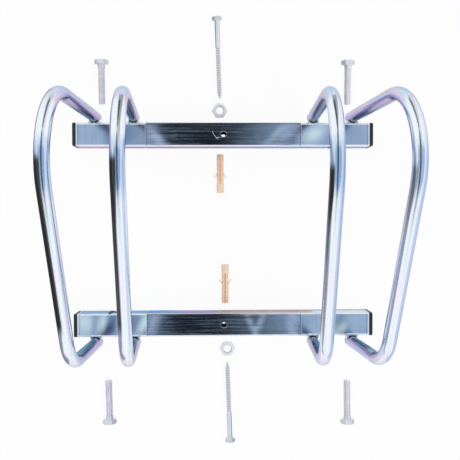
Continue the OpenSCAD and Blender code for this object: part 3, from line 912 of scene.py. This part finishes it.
def screw_head(bm, flats, high, washer, shank):
    """A hexagon head, the washer face under it, and the outline of a plain shank."""
    hexagon_lathe(bm, flats, washer, high)
    face_r = flats * WASHER_FACE
    lathe(bm, [(face_r, 0.0), (face_r, washer + 0.1 * MM)], WASHER_SIDES)
    lathe(bm, shank)


def lay_down(bm, node, rise, run, turn=0.0):
    """Lays a screw made along +Z in its node's place, with its head away from the rack.

    It tips by a rise over a run, as its head lifts it off the floor.
    """
    turn += math.pi if lies_turned(node) else 0.0
    tip = math.atan(rise / run) - math.pi / 2
    spin = Matrix.Rotation(turn, 4, "Z") @ Matrix.Rotation(tip, 4, "X")
    bmesh.ops.transform(bm, matrix=spin, verts=bm.verts)
    co = np.array([v.co for v in bm.verts])
    low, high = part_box(node)
    move = (low + high) / 2 - Vector((co.min(0) + co.max(0)) / 2)
    move.z = low.z - float(co[:, 2].min())
    bmesh.ops.translate(bm, verts=bm.verts, vec=move)


def build_bolt(node, sizes, material):
    """A hexagon bolt: chamfered head with a washer face, short shank and metric thread."""
    radius, flats, pitch = sizes.bolt_diameter / 2, sizes.bolt_flats, sizes.bolt_pitch
    length, shank = sizes.bolt_length, sizes.bolt_shank
    core = radius - pitch * 0.6
    tip = 1.2 * MM
    bm = new_mesh()
    screw_head(bm, flats, sizes.bolt_head, washer=0.35 * MM, shank=[
        (radius * 0.98, -shank), (radius, -shank * 0.85), (radius, -0.8 * MM),
        (radius + 0.6 * MM, 0.2 * MM)])

    def reach_at(z):
        taper = clamped((z + length) / tip)
        run_out = clamped((-shank - z) / pitch)
        return core - 0.35 * MM * (1.0 - taper), core + (radius - core) * taper * run_out

    thread(bm, -length, -shank + 0.3 * MM, pitch, METRIC_PROFILE, reach_at)
    last_thread = length - 0.75 * MM
    turn = sizes.bolt_turn if node == "left_lower_bolt" else 0.0
    lay_down(bm, node, flats / 2 - radius, last_thread, turn)
    piece(node + "_screw", bm, node, material)


def build_lag_screw(node, sizes, material):
    """A lag screw: chamfered head, smooth shank, and a sharp thread down to its point."""
    radius, flats, pitch = sizes.lag_diameter / 2, sizes.lag_flats, sizes.lag_pitch
    length, shank = sizes.lag_length, sizes.lag_shank
    core = radius * LAG_CORE
    point_r = 0.04 * MM
    bm = new_mesh()
    screw_head(bm, flats, sizes.lag_head, washer=0.25 * MM, shank=[
        (core, -shank - 1.5 * MM), (radius, -shank), (radius, -0.6 * MM),
        (radius + 0.5 * MM, 0.2 * MM)])

    def reach_at(z):
        share = clamped((z + length) / sizes.lag_tip)
        body = point_r + (core - point_r) * share ** 0.8
        run_out = clamped((-shank - z) / pitch)
        return body, body + (radius - core) * min(1.0, share * 1.4) * run_out

    thread(bm, -length, -shank + 0.5 * MM, pitch, WOOD_PROFILE, reach_at)
    lay_down(bm, node, flats / 2 - radius, sizes.lag_contact, sizes.lag_turn)
    piece(node + "_body", bm, node, material)


def build_nut(node, sizes, material):
    """A hexagon nut with both faces chamfered and a thread in its bore."""
    radius, high, pitch = sizes.nut_diameter / 2, sizes.nut_height, sizes.nut_pitch
    bm = new_mesh()
    hexagon_lathe(bm, sizes.nut_flats, 0.0, high, radius)

    def reach_at(z):
        to_end = min(z - BORE_FLARE, high - BORE_FLARE - z)
        groove_r = radius + 0.1 * MM
        return groove_r, groove_r - radius * (1.0 - NUT_CORE) * clamped(to_end / pitch)

    thread(bm, BORE_FLARE, high - BORE_FLARE, pitch, METRIC_PROFILE, reach_at,
           closed=False)
    low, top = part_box(node)
    bmesh.ops.translate(bm, verts=bm.verts,
                        vec=((low.x + top.x) / 2, (low.y + top.y) / 2, low.z))
    piece(node + "_body", bm, node, material)


def paint(nodes, material):
    """Gives packed nodes a finish. Their shape stays as it is."""
    for node in nodes:
        for slot in frame["nodes"][node].material_slots:
            slot.material = material


def nodes_ending(end):
    """The packed nodes whose name has this ending."""
    return [node for node in frame["nodes"] if node.endswith(end)]


# ---- What a user may change ----

def length(name, description, millimetres):
    """A length property."""
    return bpy.props.FloatProperty(name=name, description=description, unit="LENGTH",
                                   default=millimetres * MM, precision=5, min=0.0)


def angle(name, description, degrees):
    """An angle property."""
    return bpy.props.FloatProperty(name=name, description=description, subtype="ANGLE",
                                   unit="ROTATION", default=math.radians(degrees))


def angles(name, description, degrees):
    """A property of several angles."""
    return bpy.props.FloatVectorProperty(
        name=name, description=description, size=len(degrees), subtype="EULER",
        unit="ROTATION", default=[math.radians(a) for a in degrees])


def number(name, description, default, **limits):
    """A property that is a plain number."""
    return bpy.props.FloatProperty(name=name, description=description, default=default,
                                   **limits)


def colour(name, description, default):
    """A colour property."""
    return bpy.props.FloatVectorProperty(name=name, description=description,
                                         default=default, subtype="COLOR", size=3,
                                         min=0.0, max=1.0)


class RackHoopSizes(bpy.types.PropertyGroup):
    """Sizes of the bent hoops."""
    tube_diameter: length("Tube diameter", "Outer diameter of the hoop tube", 16)
    tube_wall: length("Tube wall", "Wall of the hoop tube", 1.5)
    rack_height: length("Height", "Top of the tallest hoop",
                        max(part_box(node)[1].z for node in HOOPS) / MM)
    leg_lift: length("Leg lift", "Height of the feet above the floor", 22)
    pair_centre: length("Pair centre", "From the rack's middle to a pair's", 150)
    hoop_spacing: length("Spacing", "Between the hoops of a pair at the floor", 50)
    large_bend: length("Large bend", "Radius of the bend above the upper rail", 78)
    small_bend: length("Small bend", "Radius of the bend above the lower rail", 54)
    slope: angle("Slope", "Fall of the run between the bends", 23.5)
    lean: angles("Lean", "Lean of the hoops from left to right", (1.5, 4.0, 3.0, 4.5))
    tube_sides: bpy.props.IntProperty(
        name="Sides", description="Points round the tube", default=48, min=12)
    ring_step: length("Ring step", "Distance between rings on a straight", 8)
    foot_chamfer: length("Foot chamfer", "Cut on the edges of a foot", 0.25)
    foot_depth: length("Foot depth", "How far the hollow foot is open", 30)


class RackWeldSizes(bpy.types.PropertyGroup):
    """Sizes of the welds."""
    weld_grain: length("Grain", "Size of the mesh's cells", 0.35)
    weld_ripple: length("Ripple", "Distance between ripples", 1.7)
    weld_height: length("Ripple height", "From a ripple's crest to its foot", 0.35)
    weld_bow: number("Bow", "How far ripples curve", 90000.0)


class RackFastenerSizes(bpy.types.PropertyGroup):
    """Sizes of the loose bolts, screws, nuts and wall plugs."""
    bolt_diameter: length("Bolt diameter", "Thread diameter", 10)
    bolt_length: length("Bolt length", "Length under the head", 55)
    bolt_flats: length("Bolt flats", "Width of the head", 17)
    bolt_head: length("Bolt head", "Height of the head", 6.4)
    bolt_pitch: length("Bolt pitch", "Distance between threads", 1.5)
    bolt_shank: length("Bolt shank", "Plain length under the head", 5.5)
    bolt_turn: angle("Bolt turn", "Turn of the lower left bolt", 2.0)
    lag_diameter: length("Lag screw diameter", "Shank diameter", 7)
    lag_length: length("Lag screw length", "Length under the head", 109.99)
    lag_flats: length("Lag screw flats", "Width of the head", 12)
    lag_head: length("Lag screw head", "Height of the head", 5)
    lag_shank: length("Lag screw shank", "Length of the smooth shank", 37)
    lag_pitch: length("Lag screw pitch", "Distance between threads", 3.4)
    lag_tip: length("Lag screw tip", "Length of the pointed tip", 10)
    lag_contact: length("Lag screw contact", "Head to last thread on the floor", 100)
    lag_turn: angle("Lag screw turn", "Turn of both lag screws", 2.0)
    nut_diameter: length("Nut diameter", "Thread diameter", 12)
    nut_flats: length("Nut flats", "Width of a nut", 19)
    nut_height: length("Nut height", "Height of a nut", 10)
    nut_pitch: length("Nut pitch", "Distance between threads", 1.75)
    plug_diameter: length("Plug diameter", "Diameter of a wall plug", 10.4)
    plug_grain: length("Plug grain", "Size of the mesh's cells", 0.22)
    plug_collar: length("Plug collar", "Length of the plain end", 12)
    slot_squeeze: number("Slot squeeze", "How far the slot of a plug is pressed shut", 0.8,
                         min=0.0, max=0.95)


# Each use, with the colours that a user may change for it
TONES = {
    "Film on the hoops": {
        "zinc_blue": (0.87, 0.94, 0.99), "zinc_lavender": (0.88, 0.88, 0.99),
        "zinc_cyan": (0.58, 0.80, 0.93), "zinc_pink": (0.84, 0.62, 0.78),
        "zinc_shade": (0.36, 0.46, 0.62), "bend_shade": (0.46, 0.62, 0.84)},
    "Drawing lines": {"zinc_grey": (0.50, 0.56, 0.64)},
    "Dark flanks of the hoops, and pits": {"zinc_dark": (0.07, 0.065, 0.065)},
    "Rims and edges": {"zinc_white": (0.93, 0.95, 0.98)},
    "Dark behind the welds": {"crevice": (0.008, 0.009, 0.012)},
    "Top bends of the hoops": {
        "apex_blue": (0.40, 0.60, 0.92), "apex_cyan": (0.42, 0.74, 0.90),
        "apex_pink": (0.92, 0.66, 0.80), "apex_violet": (0.54, 0.60, 0.92),
        "apex_shade": (0.22, 0.30, 0.27)},
    "Legs of the hoops": {
        "leg_violet": (0.56, 0.52, 0.88), "leg_teal": (0.10, 0.50, 0.62),
        "leg_blue": (0.14, 0.44, 0.60), "leg_navy": (0.04, 0.07, 0.11),
        "leg_slate": (0.20, 0.28, 0.44), "leg_bright": (0.34, 0.68, 0.86),
        "leg_mauve": (0.34, 0.40, 0.56), "leg_peach": (1.0, 0.66, 0.62),
        "leg_pink": (0.80, 0.44, 0.60)},
    "Sleeves": {
        "sleeve_deep": (0.60, 0.66, 0.74), "sleeve_blue": (0.74, 0.82, 0.90),
        "sleeve_pale": (0.90, 0.96, 1.0), "sleeve_glare": (0.74, 0.94, 1.0),
        "sleeve_shade": (0.22, 0.32, 0.44)},
    "Inner sides of the rails": {
        "side_mist": (0.52, 0.60, 0.80), "side_sand": (0.50, 0.42, 0.44),
        "side_peach": (0.56, 0.42, 0.40), "side_blue": (0.28, 0.34, 0.72),
        "side_mauve": (0.42, 0.28, 0.60), "side_cyan": (0.16, 0.44, 0.80),
        "side_pink": (0.66, 0.30, 0.48)},
    "Connecting tubes": {
        "tube_dark": (0.22, 0.28, 0.36), "tube_grey": (0.40, 0.48, 0.58),
        "tube_pale": (0.62, 0.70, 0.80), "tube_glare": (0.62, 0.80, 1.0)},
    "Scratch by a screw hole": {"scratch": (0.70, 0.85, 0.95)},
    "Weld beads": {"weld_pale": (0.72, 0.86, 0.92), "weld_straw": (0.42, 0.38, 0.32)},
    "End caps": {
        "cap_black": (0.012, 0.012, 0.014), "cap_grey": (0.024, 0.024, 0.027),
        "cap_scuff": (0.07, 0.07, 0.075)},
    "Bolts, lag screws and nuts": {
        "fastener_pale": (0.95, 0.95, 0.98), "fastener_grey": (0.86, 0.88, 0.93),
        "fastener_cyan": (0.93, 0.99, 1.0), "fastener_dark": (0.24, 0.28, 0.36),
        "nut_pale": (0.96, 0.94, 0.99)},
    "Wall plugs": {
        "plug_tan": (1.0, 0.76, 0.52), "plug_rose": (1.0, 0.80, 0.64),
        "plug_ochre": (0.80, 0.36, 0.10)},
}


class RackColours(bpy.types.PropertyGroup):
    """Colours of the finishes."""
    __annotations__ = {
        key: colour(key.replace("_", " ").capitalize(), use, tone)
        for use, tones in TONES.items() for key, tone in tones.items()}


class RackStage(bpy.types.PropertyGroup):
    """The studio and the camera."""
    camera_place: bpy.props.FloatVectorProperty(
        name="Camera place", description="Where the camera stands", size=3,
        default=(-8.127 * MM, 18.394 * MM, 831.759 * MM), subtype="TRANSLATION",
        unit="LENGTH", precision=5)
    camera_turn: angles("Camera turn", "How the camera is turned",
                        (-1.3237, -1.2048, -0.144))
    camera_lens: number("Lens", "Focal length", 45.6255, min=1.0)
    floor_size: length("Floor", "Half the width of the floor", 6000)
    ceiling: length("Ceiling", "Height of the dark ceiling", 1400)
    floor_colour: colour("Floor colour", "The plain floor", (0.90, 0.90, 0.90))
    floor_white: number("Floor white", "How much of the floor's shadow is taken out", 0.93,
                        min=0.0, max=1.0)
    sky_level: number("Sky", "Soft light from all round", 0.66, min=0.0)


SETTINGS = {"rack_hoops": RackHoopSizes, "rack_welds": RackWeldSizes,
            "rack_fasteners": RackFastenerSizes, "rack_colours": RackColours,
            "rack_stage": RackStage}


# ---- Operators ----

class RACK_OT_rails(bpy.types.Operator):
    """Finishes the connecting tubes, sleeves and end caps"""
    bl_idname = "rack.rails"
    bl_label = "Rails"

    def execute(self, context):
        hole_x = context.scene.rack_hoops.pair_centre
        low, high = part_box("right_upper_sleeve")
        tube_low, tube_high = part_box("upper_connecting_tube")
        rail_y = (low.y + high.y) / 2
        paint(nodes_ending("_sleeve"),
              sleeve_zinc(rail_y, high.z / 2, low.x, high.x, hole_x))
        paint(nodes_ending("_connecting_tube"),
              connecting_zinc(rail_y, (tube_high.y - tube_low.y) / 2, low.x))
        paint(nodes_ending("_end_cap"), cap_plastic())
        return {"FINISHED"}


class RACK_OT_hoops(bpy.types.Operator):
    """Bends the four hoops"""
    bl_idname = "rack.hoops"
    bl_label = "Hoops"

    def execute(self, context):
        material = hoop_zinc(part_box("right_upper_sleeve")[1].z)
        for node in HOOPS:
            build_hoop(node, context.scene.rack_hoops, material)
        return {"FINISHED"}


class RACK_OT_welds(bpy.types.Operator):
    """Runs the welds between legs and sleeves"""
    bl_idname = "rack.welds"
    bl_label = "Welds"

    def execute(self, context):
        material = weld_zinc()
        for node in nodes_ending("_welds"):
            build_weld(node, context.scene.rack_welds, material)
        return {"FINISHED"}


class RACK_OT_fasteners(bpy.types.Operator):
    """Makes the loose bolts, lag screws and nuts"""
    bl_idname = "rack.fasteners"
    bl_label = "Fasteners"

    def execute(self, context):
        material = fastener_zinc()
        for end, build in (("_bolt", build_bolt), ("_lag_screw", build_lag_screw),
                           ("_nut", build_nut)):
            for node in nodes_ending(end):
                build(node, context.scene.rack_fasteners, material)
        return {"FINISHED"}


class RACK_OT_wall_plugs(bpy.types.Operator):
    """Moulds the two wall plugs"""
    bl_idname = "rack.wall_plugs"
    bl_label = "Wall plugs"

    def execute(self, context):
        material = plug_nylon()
        for node in nodes_ending("_wall_plug"):
            build_wall_plug(node, context.scene.rack_fasteners, material)
        return {"FINISHED"}


WHITE = (1.0, 1.0, 1.0)
FLAG_REACH, FLAG_NEAR = 1.3, 0.27  # how far out the side flags stand, and their feet end
FLAG_TOP, FLAG_HALF = 0.75, 1.5  # height, and half the length
FLAG_FADE = 0.45  # how far a flag takes to fade to white
BACK_HALF = 0.2  # half the width of the narrow sheet behind the rack
CARD_LIFT, FOOT_LIFT = 0.01, 0.004  # so that no card lies in the floor


def lamp(name, place, size, power):
    """A soft square lamp that looks at the rack."""
    light = bpy.data.lights.new(name, "AREA")
    light.shape = "RECTANGLE"
    light.size, light.size_y = size
    light.energy = power
    obj = link(name, light)
    obj.location = place
    obj.rotation_euler = (-Vector(place)).to_track_quat("-Z", "Y").to_euler()
    obj.visible_glossy = False


def sheet(name, corner, first, second, material):
    """A flat sheet, from a corner and the two sides that leave it."""
    corner, first, second = Vector(corner), Vector(first), Vector(second)
    mesh = bpy.data.meshes.new(name)
    mesh.from_pydata([corner, corner + first, corner + first + second, corner + second],
                     [], [(0, 1, 2, 3)])
    mesh.materials.append(material)
    return link(name, mesh)


def studio_card(*sides):
    """A sheet that only shows in the gloss of metal, as a dark studio wall does."""
    obj = sheet(*sides)
    for ray in ("camera", "diffuse", "transmission", "volume_scatter", "shadow"):
        setattr(obj, "visible_" + ray, False)


def ceiling_finish():
    """The studio above the rack: dark round the camera, grey further out, then white."""
    material, f = new_finish("studio_ceiling")
    x, y, _ = f.parts(f.place())
    sides = f.smooth(x, -0.19, -0.30) + f.smooth(x, 0.0, 0.32)
    far = f.mix(f.smooth(y, 0.45, 0.7), (0.43, 0.54, 0.70), WHITE)
    near = f.mix(sides, (0.03, 0.035, 0.045), far)
    f.show(f.glow(f.mix(f.smooth(f.distance(x * 0.8, y), 1.02, 1.25), near, WHITE)))
    return material


def flag_finish(name, cloth, fade_y):
    """A cloth at the side of the studio, which fades to white from a place along Y."""
    material, f = new_finish(name)
    y = f.parts(f.place())[1]
    f.show(f.glow(f.mix(f.smooth(y, fade_y, fade_y + FLAG_FADE), cloth, WHITE)))
    return material


def floor_finish(stage):
    """Plain pale paper, shown as white but for the object's shadow."""
    material, f = new_finish("plain_floor")
    mottle = f.noise(f.place(), 3.0, detail=2.0)
    paper = f.mix(mottle * 0.05, stage.floor_colour, (0.85, 0.86, 0.88))
    f.show(f.node("ShaderNodeMixShader", sockets={
        0: f.seen() * stage.floor_white,
        1: f.node("ShaderNodeBsdfDiffuse", sockets={"Color": paper}), 2: f.glow(WHITE)}))
    return material


class RACK_OT_stage(bpy.types.Operator):
    """Sets up the floor, the soft studio light and the camera"""
    bl_idname = "rack.stage"
    bl_label = "Stage"

    def execute(self, context):
        scene = context.scene
        stage = scene.rack_stage
        scene.view_settings.view_transform = "Standard"
        scene.world = bpy.data.worlds.new("studio")
        sky = Finish(scene.world)
        level = sky.smooth(sky.seen(), 0.0, 1.0, stage.sky_level, 1.0)
        sky.show(sky.node("ShaderNodeBackground",
                          sockets={"Color": WHITE, "Strength": level}), "World")

        half = stage.floor_size
        floor = sheet("studio_floor", (-half, -half, 0), (2 * half, 0, 0),
                      (0, 2 * half, 0), floor_finish(stage))

        out = FLAG_REACH
        studio_card("studio_ceiling", (-out, -out, stage.ceiling), (2 * out, 0, 0),
                    (0, 2 * out, 0), ceiling_finish())
        for side, name, tone in ((LEFT, "studio_dark_flag", (0.30, 0.34, 0.40)),
                                 (RIGHT, "studio_grey_flag", (0.66, 0.74, 0.88))):
            cloth = flag_finish(name, tone, fade_y=0.1)
            studio_card("studio_flag", (side * out, -FLAG_HALF, CARD_LIFT),
                        (0, 2 * FLAG_HALF, 0), (0, 0, FLAG_TOP - CARD_LIFT), cloth)
            studio_card("studio_flag_foot", (side * out, -FLAG_HALF, FOOT_LIFT),
                        (side * (FLAG_NEAR - out), 0, 0), (0, 2 * FLAG_HALF, 0), cloth)
        studio_card("studio_back", (-BACK_HALF, out, CARD_LIFT), (2 * BACK_HALF, 0, 0),
                    (0, 0, stage.ceiling - CARD_LIFT),
                    flag_finish("studio_back_flag", (0.18, 0.21, 0.22), fade_y=2.0))

        lamp("key_lamp", (1.3, -1.1, 1.7), (1.2, 1.2), 16.0)
        lamp("fill_lamp", (-1.2, 1.4, 1.6), (1.4, 1.0), 8.0)

        lens = bpy.data.cameras.new("photo_camera")
        lens.sensor_width = 36.0
        lens.lens = stage.camera_lens
        camera = link("photo_camera", lens)
        camera.location = stage.camera_place
        camera.rotation_euler = Euler(stage.camera_turn)
        scene.camera = camera
        return {"FINISHED"}


OPERATORS = (RACK_OT_stage, RACK_OT_rails, RACK_OT_hoops, RACK_OT_welds,
             RACK_OT_fasteners, RACK_OT_wall_plugs)


class RACK_PT_panel(bpy.types.Panel):
    """Lists the pieces and their sizes and colours"""
    bl_label = "Wheel rack"
    bl_idname = "RACK_PT_panel"
    bl_space_type = "VIEW_3D"
    bl_region_type = "UI"
    bl_category = "Wheel rack"

    def draw(self, context):
        for operator in OPERATORS:
            self.layout.operator(operator.bl_idname)
        for name, group in SETTINGS.items():
            box = self.layout.box()
            box.label(text=group.__doc__.strip())
            for key in group.__annotations__:
                box.prop(getattr(context.scene, name), key)


def register():
    """Registers the settings, operators and panel."""
    for name, group in SETTINGS.items():
        bpy.utils.register_class(group)
        setattr(bpy.types.Scene, name, bpy.props.PointerProperty(type=group))
    for cls in (*OPERATORS, RACK_PT_panel):
        bpy.utils.register_class(cls)


def unregister():
    """Removes what register added."""
    for cls in (RACK_PT_panel, *reversed(OPERATORS)):
        bpy.utils.unregister_class(cls)
    for name, group in SETTINGS.items():
        delattr(bpy.types.Scene, name)
        bpy.utils.unregister_class(group)


def main():
    """Registers the settings and builds everything in order."""
    register()
    for operator in OPERATORS:
        group, name = operator.bl_idname.split(".")
        getattr(getattr(bpy.ops, group), name)()


if __name__ == "__main__":
    main()
